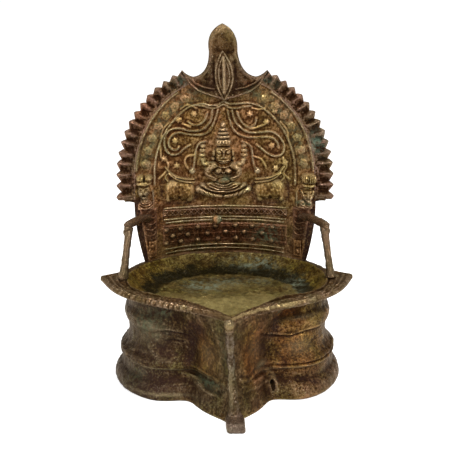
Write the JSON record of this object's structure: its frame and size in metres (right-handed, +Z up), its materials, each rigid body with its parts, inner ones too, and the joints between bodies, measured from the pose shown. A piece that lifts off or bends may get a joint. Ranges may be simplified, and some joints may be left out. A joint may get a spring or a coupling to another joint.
{
  "type": "oil lamp",
  "caption": "Shallow oil bowl with leaf-pointed rim on a hollow waisted pedestal with a keeled nose, and a braced figured back plate.",
  "frame": {"origin": "on the floor under the middle of the lamp's bounding box", "axes": "+Z up, -Y toward the spout, the nose and the toe, +Y toward the back plate, +X to the right of someone who faces the spout's figure side"},
  "size_m": [0.146, 0.1606, 0.1985],
  "materials": {
    "body": "aged cast brass, brown patina with reddish copper tones",
    "rim": "aged cast brass, grey-brown, worn bright on edges",
    "bowl": "aged cast brass, olive, stained by oil",
    "plate": "aged cast brass, dark brown patina in the recesses",
    "border": "aged cast brass, brown patina",
    "wire": "aged cast brass, rubbed golden on raised lines",
    "figure": "aged cast brass, rubbed golden on high points",
    "dark": "aged cast brass, near-black patina"
  },
  "bodies": {
    "root": {"pedestal": "body", "oil_bowl": "bowl", "keel_rib": "rim", "back_plate": "plate", "hood_finial": "figure", "eye_leaf": "wire", "inner_arch_wire": "wire", "goddess": "figure", "throne_top_wire": "wire", "hatch_band": "dark", "throne_wire_upper": "wire", "bead_panel": "dark", "throne_boss": "figure", "foot_wire_upper": "wire", "foot_wire_lower": "wire", "flame_border_left": "border", "outer_arch_wire_left": "wire", "scroll_outer_left": "wire", "scroll_inner_left": "wire", "scroll_curl_left": "wire", "halo_wire_left": "wire", "elephant_left": "figure", "attendant_left": "figure", "pilaster_left": "dark", "post_left": "rim", "arm_left": "rim", "rosette_left_1": "figure", "rosette_left_2": "figure", "rosette_left_3": "figure", "rosette_left_4": "figure", "rosette_left_5": "figure", "rosette_left_6": "figure", "rosette_left_7": "figure", "flame_border_right": "border", "outer_arch_wire_right": "wire", "scroll_outer_right": "wire", "scroll_inner_right": "wire", "scroll_curl_right": "wire", "halo_wire_right": "wire", "elephant_right": "figure", "attendant_right": "figure", "pilaster_right": "dark", "post_right": "rim", "arm_right": "rim", "rosette_right_1": "figure", "rosette_right_2": "figure", "rosette_right_3": "figure", "rosette_right_4": "figure", "rosette_right_5": "figure", "rosette_right_6": "figure", "rosette_right_7": "figure"}
  },
  "joints": []
}
